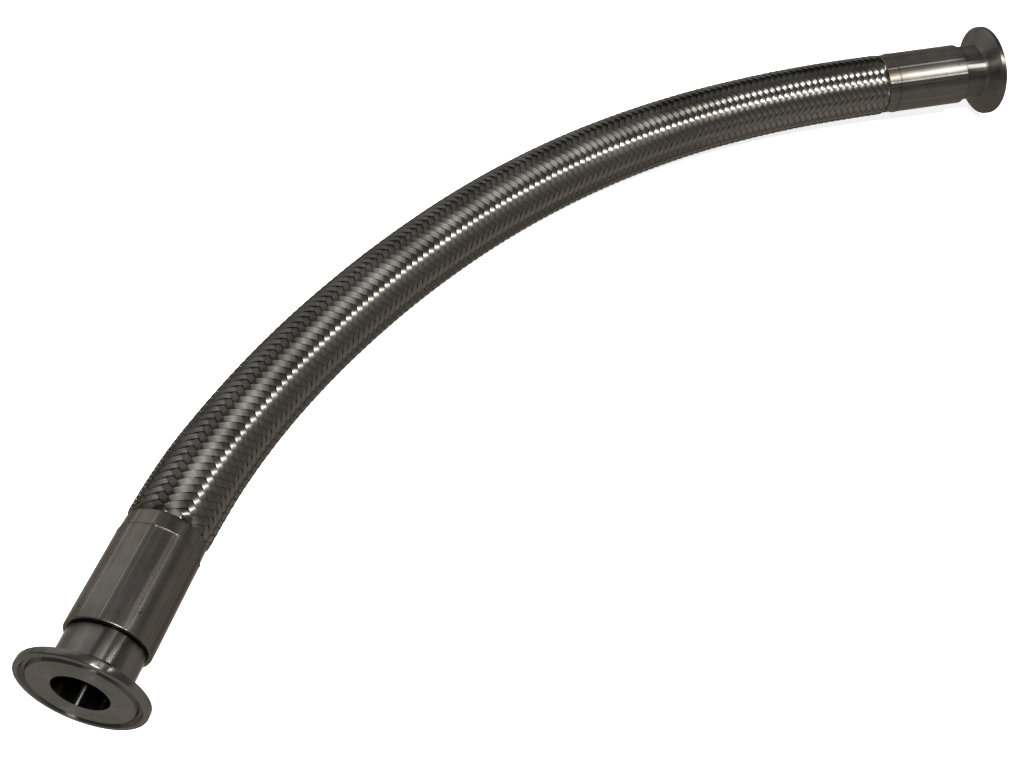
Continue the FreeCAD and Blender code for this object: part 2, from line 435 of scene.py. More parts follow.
def makeBraidMaterial(values):
    material, tree, shader = newSteel("braidWire")
    coords = place(tree, "ShaderNodeTexCoord").outputs["Object"]
    steel = useGroup(
        tree, handledSteel, Coordinates=coords, Light_Tone=values["light"], Dark_Tone=values["dark"],
        Stain=values["stain"], Cloud_Scale=70.0, Stain_Amount=0.5, Streak_Amount=0.0,
        Roughness=values["roughness"], Roughness_Spread=0.12,
    )
    # Painted shade: the low side of the braid is browner and darker
    low, high = values["shadeRange"]
    tone = useGroup(
        tree, lowSideShade, Color=steel["Color"], Low_Tone=values["lowTone"],
        Height=ownValue(tree, "roundHeight"), From=low, To=high, Coordinates=coords,
    )["Color"]
    across = split(tree, place(tree, "ShaderNodeUVMap", uv_map="wireUv").outputs[0])[1]
    ripple = calc(tree, "SINE", calc(tree, "MULTIPLY", across, math.pi * values["wires"]))
    wires = calc(tree, "ABSOLUTE", ripple)
    # Painted shade on the right-hand wires on the outside of the bow
    rightHandShade = calc(tree, "MULTIPLY", ownValue(tree, "rightHandShade"), values["rightHandShade"])
    tone = mixColor(tree, rightHandShade, tone, values["shadeTone"])
    # Painted shade in the grooves between wires and where a ribbon passes under the other hand
    groove = mapRange(tree, wires, 0.0, 0.45, 0.35, 1.0)
    above = mapRange(tree, ownValue(tree, "above"), 0.15, 0.6, 0.0, 1.0)
    shown = calc(tree, "MULTIPLY", groove, above)
    # Painted shade along the outline: where the hose turns away from view it takes the dark edge tone and
    # stops being metal
    outward = place(tree, "ShaderNodeAttribute", attribute_name="outward").outputs["Vector"]
    turned = place(tree, "ShaderNodeLayerWeight")
    tree.links.new(outward, turned.inputs["Normal"])
    rim = mapRange(tree, turned.outputs["Facing"], *values["edgeFacing"], 0.0, 1.0)
    tone = mixColor(tree, rim, mixColor(tree, shown, values["shadeTone"], tone), values["edge"])
    feed(tree, shader.inputs["Base Color"], tone)
    feed(tree, shader.inputs["Metallic"], calc(tree, "SUBTRACT", 1.0, rim))
    shader.inputs["Specular IOR Level"].default_value = 0.0
    scuffed = calc(tree, "MULTIPLY", ownValue(tree, "scuffed"), values["scuffed"])
    feed(tree, shader.inputs["Roughness"], calc(tree, "ADD", steel["Roughness"], scuffed))
    shader.inputs["Anisotropic"].default_value = values["anisotropy"]
    shader.inputs["Anisotropic Rotation"].default_value = 0.25
    tangent = place(tree, "ShaderNodeTangent", direction_type="UV_MAP", uv_map="wireUv")
    tree.links.new(tangent.outputs[0], shader.inputs["Tangent"])
    bump(tree, shader, calc(tree, "POWER", wires, 0.6), values["wireHeight"])
    return material


hoseFinish = {
    "light": (0.10, 0.095, 0.08, 1),
    "dark": (0.05, 0.047, 0.04, 1),
    "stain": (0.04, 0.03, 0.02, 1),
    "roughness": 0.35,
}


def makeHoseMaterial(values):
    material, tree, shader = newSteel("hoseStrip")
    coords = place(tree, "ShaderNodeTexCoord").outputs["Object"]
    steel = useGroup(
        tree, handledSteel, Coordinates=coords, Light_Tone=values["light"], Dark_Tone=values["dark"],
        Stain=values["stain"], Cloud_Scale=90.0, Streak_Amount=0.2, Roughness=values["roughness"],
    )
    feed(tree, shader.inputs["Base Color"], steel["Color"])
    feed(tree, shader.inputs["Roughness"], steel["Roughness"])
    return material


# Each fitting's own frame: its gasket face, the direction along its axis into the hose, and its left
fittingReach = 0.0667  # from the gasket face to the mouth of the sleeve


def endFrame(end):
    first, second = (0, 1) if end == "near" else (-1, -2)
    inward = (routePoints[second] - routePoints[first]).normalized()
    face = routePoints[first] - inward * fittingReach
    return face, inward, bowNormal.cross(inward)


# Object coordinates turned into the fitting's frame: X along its axis, Y to its left, Z to its top
def fittingCoords(tree, end):
    face, inward, left = endFrame(end)
    turn = Matrix((inward, left, bowNormal))
    node = place(tree, "ShaderNodeMapping")
    feed(tree, node.inputs["Vector"], place(tree, "ShaderNodeTexCoord").outputs["Object"])
    node.inputs["Location"].default_value = -(turn @ face)
    node.inputs["Rotation"].default_value = turn.to_euler("XYZ")
    coords = node.outputs[0]
    parts = split(tree, coords)
    fromAxis = vector(tree, "LENGTH", combined(tree, 0.0, parts[1], parts[2]))
    return coords, parts, fromAxis


# Fine marks that run round the fitting's axis: highlights stretch along the axis
def turnedSheen(tree, shader, end, amount):
    face, inward = endFrame(end)[:2]
    coords = place(tree, "ShaderNodeTexCoord").outputs["Object"]
    around = vector(tree, "CROSS_PRODUCT", vector(tree, "SUBTRACT", coords, tuple(face)), tuple(inward))
    tree.links.new(around, shader.inputs["Tangent"])
    shader.inputs["Anisotropic"].default_value = amount
    shader.inputs["Anisotropic Rotation"].default_value = 0.25


def between(tree, value, low, high, soft):
    rise = mapRange(tree, value, low - soft / 2, low + soft / 2, 0.0, 1.0)
    fall = mapRange(tree, value, high - soft / 2, high + soft / 2, 1.0, 0.0)
    return calc(tree, "MULTIPLY", rise, fall)


ferruleFinish = {
    "light": (0.130, 0.123, 0.111, 1),
    "dark": (0.074, 0.069, 0.062, 1),
    "stain": (0.080, 0.065, 0.052, 1),
    "lowTone": (0.070, 0.064, 0.053, 1),
    "shadeRange": (-0.004, 0.012),  # height over the axis, from full painted shade to none
    "edge": (0.58, 0.56, 0.53, 1),
    "faceTone": (0.102, 0.096, 0.087, 1),
    # painted shade: the bore is coloured near black
    "boreShade": (0.010, 0.010, 0.009, 1),
    "boreRoughness": 0.2,
    # dirt clouds on the gasket face, and painted shade in the gasket groove and the lock groove
    "dirtAndShade": (0.010, 0.009, 0.007, 1),
    "boreRadius": 0.0112,
    "lockGroove": (0.0183, 0.0200),  # along the axis, where the sleeve's lip hooks in
    "neckRadius": 0.0152,
    "gasketGroove": (0.0203, 0.0232),  # from the axis
    "roughness": {"near": 0.28, "far": 0.44},
    "turned": 0.9,
}


def makeFerruleMaterial(end, values):
    material, tree, shader = newSteel(end + "FerruleSteel", values["edge"])
    coords, parts, fromAxis = fittingCoords(tree, end)
    steel = useGroup(
        tree, handledSteel, Coordinates=coords, Light_Tone=values["light"], Dark_Tone=values["dark"],
        Stain=values["stain"], Cloud_Scale=75.0, Stain_Amount=0.5, Streak_Amount=0.25, Streak_Scale=500.0,
        Roughness=values["roughness"][end], Roughness_Spread=0.12,
    )
    # Painted shade: the lower side of the ferrule is browner and darker
    low, high = values["shadeRange"]
    tone = useGroup(
        tree, lowSideShade, Color=steel["Color"], Low_Tone=values["lowTone"], Height=parts[2],
        From=low, To=high, Coordinates=coords,
    )["Color"]
    onFace = mapRange(tree, parts[0], 0.0002, 0.0018, 1.0, 0.0)
    faceCloud = mapRange(tree, noise(tree, coords, 160.0), 0.3, 0.7, 0.75, 1.0)
    faceTone = mixColor(tree, faceCloud, values["dirtAndShade"], values["faceTone"])
    tone = mixColor(tree, onFace, tone, faceTone)
    # Painted shade in the gasket groove
    inGroove = calc(tree, "MULTIPLY", onFace, between(tree, fromAxis, *values["gasketGroove"], 0.0006))
    tone = mixColor(tree, calc(tree, "MULTIPLY", inGroove, 0.5), tone, values["dirtAndShade"])
    # Painted shade in the lock groove, under the sleeve's lip
    inLock = calc(
        tree, "MULTIPLY", between(tree, parts[0], *values["lockGroove"], 0.0004),
        mapRange(tree, fromAxis, values["neckRadius"] - 0.0001, values["neckRadius"], 1.0, 0.0),
    )
    tone = mixColor(tree, inLock, tone, values["dirtAndShade"])
    # Painted shade: the bore takes a near-black tone
    inBore = mapRange(tree, fromAxis, values["boreRadius"], values["boreRadius"] + 0.0001, 1.0, 0.0)
    tone = mixColor(tree, inBore, tone, values["boreShade"])
    feed(tree, shader.inputs["Base Color"], tone)
    feed(tree, shader.inputs["Roughness"], mixed(tree, inBore, steel["Roughness"], values["boreRoughness"]))
    turnedSheen(tree, shader, end, values["turned"])
    bump(tree, shader, steel["Streaks"], 0.00001, 0.3)
    return material


sleeveFinish = {
    # the far sleeve's tones and edge tint are lighter than the near one's: painted light for the brighter
    # light that falls on it
    "light": {"near": (0.125, 0.118, 0.104, 1), "far": (0.165, 0.156, 0.138, 1)},
    "dark": {"near": (0.062, 0.058, 0.051, 1), "far": (0.092, 0.087, 0.077, 1)},
    "stain": (0.075, 0.060, 0.045, 1),
    "lowTone": {"near": (0.058, 0.051, 0.041, 1), "far": (0.080, 0.073, 0.060, 1)},
    "edge": {"near": (0.50, 0.48, 0.45, 1), "far": (0.66, 0.64, 0.61, 1)},
    "shadeRange": (-0.002, 0.013),
    "worn": (0.24, 0.23, 0.20, 1),
    "wornShare": 0.3,
    # painted shade on the sleeve's lip end
    "dirtAndShade": (0.090, 0.083, 0.072, 1),
    "roughness": {"near": 0.34, "far": 0.47},
    "turned": {"near": 0.0, "far": 0.86},
    "lipEnd": 0.0196,  # along the axis, as far as the painted shade on the lip goes
}


def makeSleeveMaterial(end, values):
    material, tree, shader = newSteel(end + "SleeveSteel", values["edge"][end])
    coords, parts, fromAxis = fittingCoords(tree, end)
    steel = useGroup(
        tree, handledSteel, Coordinates=coords,
        Light_Tone=values["light"][end], Dark_Tone=values["dark"][end],
        Stain=values["stain"], Cloud_Scale=60.0, Stain_Amount=0.5, Streak_Amount=0.6, Streak_Scale=420.0,
        Roughness=values["roughness"][end], Roughness_Spread=0.14,
    )
    # Painted shade: the lower side of the sleeve is browner and darker
    low, high = values["shadeRange"]
    tone = useGroup(
        tree, lowSideShade, Color=steel["Color"], Low_Tone=values["lowTone"][end], Height=parts[2],
        From=low, To=high, Coordinates=coords,
    )["Color"]
    worn = calc(tree, "MULTIPLY", ownValue(tree, "worn"), values["wornShare"])
    tone = mixColor(tree, worn, tone, values["worn"])
    # Painted shade on the lip's end wall, where the sleeve meets the neck
    onLip = mapRange(tree, parts[0], values["lipEnd"] - 0.0003, values["lipEnd"], 1.0, 0.0)
    tone = mixColor(tree, onLip, tone, values["dirtAndShade"])
    feed(tree, shader.inputs["Base Color"], tone)
    feed(tree, shader.inputs["Roughness"], steel["Roughness"])
    turnedSheen(tree, shader, end, values["turned"][end])
    bump(tree, shader, steel["Streaks"], 0.00001, 0.4)
    return material


braidMaterial = makeBraidMaterial(braidFinish)
hoseMaterial = makeHoseMaterial(hoseFinish)
ferruleMaterials = {end: makeFerruleMaterial(end, ferruleFinish) for end in ("near", "far")}
sleeveMaterials = {end: makeSleeveMaterial(end, sleeveFinish) for end in ("near", "far")}
print("materials ready")

# Woven braid: flat ribbons of wire in two hands, over two and under two
braid = {
    "Ribbons": 18,  # each way round
    "Lead": 0.0679,
    "Radius": 0.01646,
    "Ribbon Width": 0.0030,
    "Ribbon Thickness": 0.00046,
    "Wave Height": 0.00034,
    "Left Hand Raise": 0.00012,  # the left hand lies looser, so its floats stand higher and look longer
    "Samples": 800,
    "Past Mouth": 0.005,
    "Mouth Radius": 0.01535,
    "Mouth Length": 0.0020,
    "Pressed Radius": 0.01470,
    "Belly": 0.0009,  # a fuller stretch of the braid, and where it is
    "Belly Place": 0.255,
    "Belly Reach": 0.085,
    "Near Belly": 0.0008,  # another, on the right side out of the near sleeve
    "Near Belly Place": 0.020,
    "Near Belly Reach": 0.030,
    "right start": 0.5,  # degrees, where the first ribbon of each hand begins
    "left start": 9.5,
}


def makeBraidTree():
    tree, given, result = newTree("wovenBraid", [
        ("Ribbons", "Int"), ("First Ribbon", "Int"), ("Ribbon Step", "Int"), ("Ribbon Count", "Int"),
        ("Hand", "Float"), ("Start Angle", "Float"), ("Other Start Angle", "Float"), ("Lead", "Float"),
        ("Radius", "Float"), ("Ribbon Width", "Float"), ("Ribbon Thickness", "Float"),
        ("Wave Height", "Float"), ("Left Hand Raise", "Float"), ("Samples", "Int"),
        ("Past Mouth", "Float"), ("Mouth Radius", "Float"), ("Mouth Length", "Float"),
        ("Pressed Radius", "Float"),
        ("Belly", "Float"), ("Belly Place", "Float"), ("Belly Reach", "Float"),
        ("Near Belly", "Float"), ("Near Belly Place", "Float"), ("Near Belly Reach", "Float"),
        ("Bow Normal", "Vector"), ("Material", "Material"),
    ])
    # one flat grid per ribbon: x runs along it, y round its section
    grid = place(tree, "GeometryNodeMeshGrid")
    grid.inputs["Size X"].default_value = 1
    grid.inputs["Size Y"].default_value = 1
    feed(tree, grid.inputs["Vertices X"], given["Samples"])
    grid.inputs["Vertices Y"].default_value = 11
    row = place(tree, "GeometryNodeMeshLine", mode="OFFSET")
    feed(tree, row.inputs["Count"], given["Ribbon Count"])
    row.inputs["Offset"].default_value = (0, 0, 0)
    copies = place(tree, "GeometryNodeInstanceOnPoints")
    feed(tree, copies.inputs["Points"], row.outputs[0])
    feed(tree, copies.inputs["Instance"], grid.outputs["Mesh"])
    index = place(tree, "GeometryNodeInputIndex").outputs[0]
    number = calc(tree, "ADD", calc(tree, "MULTIPLY", index, given["Ribbon Step"]), given["First Ribbon"])
    keep = place(tree, "GeometryNodeStoreNamedAttribute", data_type="FLOAT", domain="INSTANCE")
    feed(tree, keep.inputs["Geometry"], copies.outputs[0])
    keep.inputs["Name"].default_value = "ribbon"
    feed(tree, keep.inputs["Value"], number)
    real = place(tree, "GeometryNodeRealizeInstances")
    feed(tree, real.inputs[0], keep.outputs[0])
    ribbonField = place(tree, "GeometryNodeInputNamedAttribute", data_type="FLOAT")
    ribbonField.inputs["Name"].default_value = "ribbon"
    ribbon = ribbonField.outputs["Attribute"]

    flat = split(tree, place(tree, "GeometryNodeInputPosition").outputs[0])
    share = calc(tree, "ADD", flat[0], 0.5)
    turn = calc(tree, "MULTIPLY", flat[1], 2 * math.pi)
    cosine = calc(tree, "COSINE", turn)
    sine = calc(tree, "SINE", turn)

    def rounded(value, power, size):
        grown = calc(tree, "POWER", calc(tree, "ABSOLUTE", value), power)
        signed = calc(tree, "MULTIPLY", grown, calc(tree, "SIGN", value))
        return calc(tree, "MULTIPLY", signed, calc(tree, "MULTIPLY", size, 0.5))

    lateral = rounded(cosine, 0.7, given["Ribbon Width"])
    height = rounded(sine, 0.85, given["Ribbon Thickness"])

    lineTotal = place(tree, "GeometryNodeCurveLength")
    toCurve = place(tree, "GeometryNodeMeshToCurve")
    feed(tree, toCurve.inputs["Mesh"], given["Geometry"])
    feed(tree, lineTotal.inputs[0], toCurve.outputs[0])
    total = lineTotal.outputs[0]
    span = calc(tree, "ADD", total, calc(tree, "MULTIPLY", given["Past Mouth"], 2.0))
    centre = calc(tree, "SUBTRACT", calc(tree, "MULTIPLY", share, span), given["Past Mouth"])

    # the ribbon's line is a helix, and its width lies square to it on the hose
    perMetre = calc(tree, "DIVIDE", 2 * math.pi, given["Lead"])
    steep = calc(tree, "ARCTANGENT", calc(tree, "MULTIPLY", given["Radius"], perMetre))
    pitchAngle = calc(tree, "DIVIDE", 2 * math.pi, given["Ribbons"])
    handed = calc(tree, "MULTIPLY", given["Hand"], perMetre)
    sideways = calc(tree, "MULTIPLY", lateral, calc(tree, "SINE", steep))
    along = calc(tree, "SUBTRACT", centre, calc(tree, "MULTIPLY", sideways, given["Hand"]))
    begin = calc(tree, "ADD", given["Start Angle"], calc(tree, "MULTIPLY", ribbon, pitchAngle))
    wound = calc(tree, "ADD", begin, calc(tree, "MULTIPLY", centre, handed))
    widened = calc(tree, "MULTIPLY", lateral, calc(tree, "COSINE", steep))
    angle = calc(tree, "ADD", wound, calc(tree, "DIVIDE", widened, given["Radius"]))

    # the other hand's ribbon at this place decides whether this one is over or under
    fromOther = calc(tree, "SUBTRACT", angle, given["Other Start Angle"])
    turnedBack = calc(tree, "ADD", fromOther, calc(tree, "MULTIPLY", along, handed))
    crossing = calc(tree, "DIVIDE", turnedBack, pitchAngle)
    steps = calc(tree, "SUBTRACT", calc(tree, "ADD", ribbon, crossing), 0.5)
    wave = calc(tree, "COSINE", calc(tree, "MULTIPLY", steps, math.pi / 2))
    over = calc(tree, "MULTIPLY", wave, given["Hand"])
    lift = calc(
        tree, "SUBTRACT", calc(tree, "MULTIPLY", over, given["Wave Height"]),
        calc(tree, "MULTIPLY", given["Left Hand Raise"], given["Hand"]),
    )

    point, tangent, total = pathFrame(tree, given["Geometry"], along)
    fromEnd = calc(tree, "MINIMUM", along, calc(tree, "SUBTRACT", total, along))
    out = calc(tree, "DIVIDE", fromEnd, given["Mouth Length"])
    out = calc(tree, "MINIMUM", calc(tree, "MAXIMUM", out, 0.0), 1.0)
    sprung = calc(tree, "MULTIPLY", out, math.pi / 2)
    middle = mixed(tree, calc(tree, "SINE", sprung), given["Mouth Radius"], given["Radius"])
    inSleeve = smoothStep(tree, fromEnd, -0.003, 0.0)
    middle = mixed(tree, inSleeve, given["Pressed Radius"], middle)
    roundHeight = calc(tree, "SINE", angle)

    def bellied(label):
        off = calc(tree, "SUBTRACT", along, given[label + " Place"])
        off = calc(tree, "DIVIDE", off, given[label + " Reach"])
        swell = calc(tree, "EXPONENT", calc(tree, "MULTIPLY", calc(tree, "MULTIPLY", off, off), -1.0))
        return calc(tree, "MULTIPLY", swell, given[label])

    # the underside stays on the ground
    upper = calc(tree, "ADD", calc(tree, "MULTIPLY", roundHeight, 0.6), 0.5)
    upper = calc(tree, "MINIMUM", calc(tree, "MAXIMUM", upper, 0.0), 1.0)
    belly = calc(tree, "MULTIPLY", bellied("Belly"), upper)
    cosineRound = calc(tree, "COSINE", angle)
    onRight = smoothStep(tree, cosineRound, -0.2, 0.8)
    onRight = calc(tree, "MULTIPLY", onRight, smoothStep(tree, fromEnd, 0.0, 0.004))
    nearBelly = calc(tree, "MULTIPLY", bellied("Near Belly"), onRight)
    fuller = calc(tree, "ADD", calc(tree, "ADD", middle, belly), nearBelly)
    radius = calc(tree, "ADD", calc(tree, "ADD", fuller, lift), height)
    spot = aroundHose(tree, point, tangent, given["Bow Normal"], radius, angle)

    # the left-hand wires are scuffed up to about 0.35 m along, and the right-hand ones get painted shade on
    # the left
    leftHand = calc(tree, "SUBTRACT", 0.5, calc(tree, "MULTIPLY", given["Hand"], 0.5))
    rightHand = calc(tree, "SUBTRACT", 1.0, leftHand)
    above = calc(tree, "ADD", calc(tree, "MULTIPLY", over, 0.5), 0.5)
    scuffed = calc(tree, "MULTIPLY", smoothStep(tree, along, 0.40, 0.30), leftHand)
    rightHandShade = calc(tree, "MULTIPLY", smoothStep(tree, cosineRound, 0.45, 0.0), rightHand)
    uv = place(tree, "GeometryNodeStoreNamedAttribute", data_type="FLOAT2", domain="CORNER")
    feed(tree, uv.inputs["Geometry"], real.outputs[0])
    uv.inputs["Name"].default_value = "wireUv"
    feed(tree, uv.inputs["Value"], combined(
        tree, calc(tree, "DIVIDE", centre, given["Ribbon Width"]),
        calc(tree, "ADD", calc(tree, "DIVIDE", lateral, given["Ribbon Width"]), 0.5),
    ))
    named = uv.outputs[0]
    for label, value in (
        ("above", above), ("roundHeight", roundHeight), ("scuffed", scuffed), ("rightHandShade", rightHandShade),
    ):
        store = place(tree, "GeometryNodeStoreNamedAttribute", data_type="FLOAT", domain="POINT")
        feed(tree, store.inputs["Geometry"], named)
        store.inputs["Name"].default_value = label
        feed(tree, store.inputs["Value"], value)
        named = store.outputs[0]
    store = place(tree, "GeometryNodeStoreNamedAttribute", data_type="FLOAT_VECTOR", domain="POINT")
    feed(tree, store.inputs["Geometry"], named)
    store.inputs["Name"].default_value = "outward"
    feed(tree, store.inputs["Value"], vector(tree, "NORMALIZE", vector(tree, "SUBTRACT", spot, point)))
    move = place(tree, "GeometryNodeSetPosition")
    feed(tree, move.inputs["Geometry"], store.outputs[0])
    feed(tree, move.inputs["Position"], spot)
    merge = place(tree, "GeometryNodeMergeByDistance")
    feed(tree, merge.inputs["Geometry"], move.outputs[0])
    merge.inputs["Distance"].default_value = 1e-6
    smooth = place(tree, "GeometryNodeSetShadeSmooth")
    feed(tree, smooth.inputs["Geometry"], merge.outputs[0])
    finish = place(tree, "GeometryNodeSetMaterial")
    feed(tree, finish.inputs["Geometry"], smooth.outputs[0])
    feed(tree, finish.inputs["Material"], given["Material"])
    feed(tree, result, finish.outputs[0])
    return tree


braidTree = makeBraidTree()


def makeBraid(values):
    pieces = []
    for hand, sign, other in (("right", 1.0, "left"), ("left", -1.0, "right")):
        for first in (0, 1):
            inputs = {key: value for key, value in values.items() if key[0].isupper()}
            inputs.update({
                "First Ribbon": first,
                "Ribbon Step": 2,
                "Ribbon Count": values["Ribbons"] // 2,
                "Hand": sign,
                "Start Angle": math.radians(values[hand + " start"]),
                "Other Start Angle": math.radians(values[other + " start"]),
                "Bow Normal": bowNormal,
                "Material": braidMaterial,
            })
            piece = madeMesh("braid_%s_hand_%d" % (hand, first + 1), hoseLine, braidTree, inputs)
            pieces.append(piece)
            print("%s: %d faces" % (piece.name, len(piece.data.polygons)))
    return pieces


braidPieces = makeBraid(braid)

# Corrugated tube under the braid: thin strip formed into folds, pressed flatter inside the sleeves
corrugated = {
    "Pitch": 0.0042,
    "Middle Radius": 0.0146,
    "Fold Depth": 0.0011,
    "Pressed Radius": 0.0136,
    "Pressed Depth": 0.0007,
    "Buried": 0.0423,
    "Samples": 820,
    "Round": 41,
    "strip": 0.00025,
}


def makeCorrugatedTree():
    tree, given, result = newTree("corrugatedHose", [
        ("Pitch", "Float"), ("Middle Radius", "Float"), ("Fold Depth", "Float"),
        ("Pressed Radius", "Float"), ("Pressed Depth", "Float"),
        ("Buried", "Float"), ("Samples", "Int"), ("Round", "Int"),
        ("Bow Normal", "Vector"), ("Material", "Material"),
    ])
    grid = place(tree, "GeometryNodeMeshGrid")
    grid.inputs["Size X"].default_value = 1
    grid.inputs["Size Y"].default_value = 1
    feed(tree, grid.inputs["Vertices X"], given["Samples"])
    feed(tree, grid.inputs["Vertices Y"], given["Round"])
    flat = split(tree, place(tree, "GeometryNodeInputPosition").outputs[0])
    toCurve = place(tree, "GeometryNodeMeshToCurve")
    feed(tree, toCurve.inputs["Mesh"], given["Geometry"])
    size = place(tree, "GeometryNodeCurveLength")
    feed(tree, size.inputs[0], toCurve.outputs[0])
    span = calc(tree, "ADD", size.outputs[0], calc(tree, "MULTIPLY", given["Buried"], 2.0))
    share = calc(tree, "ADD", flat[0], 0.5)
    along = calc(tree, "SUBTRACT", calc(tree, "MULTIPLY", share, span), given["Buried"])
    point, tangent, total = pathFrame(tree, given["Geometry"], along)
    fromEnd = calc(tree, "MINIMUM", along, calc(tree, "SUBTRACT", total, along))
    free = smoothStep(tree, fromEnd, -0.001, 0.005)
    middle = mixed(tree, free, given["Pressed Radius"], given["Middle Radius"])
    depth = mixed(tree, free, given["Pressed Depth"], given["Fold Depth"])
    # wide crests with narrow valleys between them, so no light shows through the braid at its outline
    turns = calc(tree, "DIVIDE", calc(tree, "MULTIPLY", along, 2 * math.pi), given["Pitch"])
    wave = calc(tree, "SINE", turns)
    low = calc(tree, "MULTIPLY", calc(tree, "SUBTRACT", 1.0, wave), 0.5)
    fold = calc(tree, "SUBTRACT", 1.0, calc(tree, "MULTIPLY", calc(tree, "POWER", low, 4.0), 2.0))
    radius = calc(tree, "ADD", middle, calc(tree, "MULTIPLY", fold, depth))
    angle = calc(tree, "MULTIPLY", flat[1], 2 * math.pi)
    spot = aroundHose(tree, point, tangent, given["Bow Normal"], radius, angle)
    move = place(tree, "GeometryNodeSetPosition")
    feed(tree, move.inputs["Geometry"], grid.outputs["Mesh"])
    feed(tree, move.inputs["Position"], spot)
    merge = place(tree, "GeometryNodeMergeByDistance")
    feed(tree, merge.inputs["Geometry"], move.outputs[0])
    merge.inputs["Distance"].default_value = 1e-6
    real = place(tree, "GeometryNodeRealizeInstances")
    feed(tree, real.inputs[0], merge.outputs[0])
    smooth = place(tree, "GeometryNodeSetShadeSmooth")
    feed(tree, smooth.inputs["Geometry"], real.outputs[0])
    finish = place(tree, "GeometryNodeSetMaterial")
    feed(tree, finish.inputs["Geometry"], smooth.outputs[0])
    feed(tree, finish.inputs["Material"], given["Material"])
    feed(tree, result, finish.outputs[0])
    return tree


def makeCorrugated(values):
    inputs = {key: value for key, value in values.items() if key[0].isupper()}
    inputs.update({"Bow Normal": bowNormal, "Material": hoseMaterial})
    wall = ("SOLIDIFY", {"thickness": values["strip"], "offset": -1.0})
    return madeMesh("corrugated_hose", hoseLine, makeCorrugatedTree(), inputs, [wall])


corrugatedPiece = makeCorrugated(corrugated)
print("corrugated hose: %d faces" % len(corrugatedPiece.data.polygons))

# Crimped sleeve, drawn in rings from its lip to its mouth
sleeve = {
    "start": 0.0192,
    "length": 0.0475,
    "inside": 0.0153,
    "land": 0.01695,
    "ridgeHeight": 0.00014,
    "ridgeWidth": 0.0021,
    "steepBlend": 0.0007,  # how wide the two sides of a ridge are
    "softBlend": 0.0015,
    "dies": 10,
    "dieFlat": 0.00010,  # how much flatter than the tube a die leaves its face
    "nearTurn": 25.0,  # degrees, where the first ridge stands
    "farTurn": 33.0,
    "band": 0.0065,
    "bandStep": 0.00032,
    "bead": 0.00018,  # pushed up where the dies end
    "bandTaper": 0.00015,
    "mouthFlare": 0.0007,
    "lipLength": 0.0022,
    "lipInside": 0.0145,
    "lipRound": 0.0006,
    "round": 720,
    "wornReach": 0.00025,  # how far the worn tone spreads from a ridge's edges
}


# Stations round the wall: place along the axis, radius, and how much the dies act there
def sleeveProfile(values):
    start = values["start"]
    mouth = start + values["length"]
    land = values["land"]
    lip = values["lipRound"]
    bandAt = mouth - values["band"]
    stations = [
        (start + values["lipLength"], values["lipInside"], 0),
        (start + 0.0002, values["lipInside"], 0),
        (start, values["lipInside"] + 0.0002, 0),
        (start, land - lip, 0.25),
    ]
    for part in range(1, 7):
        turn = math.radians(15 * part)
        share = 0.25 + 0.2 * part / 6
        stations.append((start + lip * (1 - math.cos(turn)), land - lip * (1 - math.sin(turn)), share))
    run = start + lip
    for part in range(1, 13):
        stations.append((run + (bandAt - 0.0011 - run) * part / 12, land, 1))
    # the bead swells up to the band's step, and the band narrows from there to the mouth
    swells = ((0.0009, 0.1), (0.0007, 0.3), (0.0004, 0.75), (0.0003, 0.95), (0.0001, 1.0), (0.0, 0.85))
    for back, share in swells:
        stations.append((bandAt - back, land + values["bead"] * share, 1))
    low = land - values["bandStep"]
    stepRun = 0.00015
    for share in (0.3, 0.75, 1.0):
        stations.append((bandAt + stepRun * share, land - values["bandStep"] * share, 1))
    bandRun = values["band"] - 0.0004
    for part in range(1, 6):
        share = part / 5
        stations.append((bandAt + stepRun + bandRun * share, low - values["bandTaper"] * share, 1))
    edge = low - values["bandTaper"]
    stations += [
        (mouth - 0.0001, edge - 0.00012, 0.9),
        (mouth, edge - 0.0003, 0.5),
        (mouth, values["inside"] + values["mouthFlare"], 0),
        (mouth - 0.0008, values["inside"] + values["mouthFlare"] * 0.5, 0),
        (mouth - 0.0035, values["inside"], 0),
        (start + values["lipLength"], values["inside"], 0),
    ]
    return stations


# A closed ring mesh: the stations go once round the wall, count copies go round the axis
def ringPiece(name, stations, count, placeAt, shaped, wornAt):
    vertices = []
    faces = []
    worn = []
    rows = len(stations)
    for column in range(count):
        angle = 2 * math.pi * column / count
        for along, radius, share in stations:
            vertices.append(placeAt(along, radius + shaped(angle, share), angle))
            worn.append(wornAt(angle) * share)
    for column in range(count):
        after = (column + 1) % count
        for row in range(rows):
            below = (row + 1) % rows
            here = column * rows
            there = after * rows
            faces.append((here + row, here + below, there + below, there + row))
    mesh = bpy.data.meshes.new(name)
    mesh.from_pydata(vertices, [], faces)
    mesh.attributes.new("worn", "FLOAT", "POINT").data.foreach_set("value", worn)
    mesh.validate()
    for polygon in mesh.polygons:
        polygon.use_smooth = True
    piece = bpy.data.objects.new(name, mesh)
    scene.collection.objects.link(piece)
    return piece


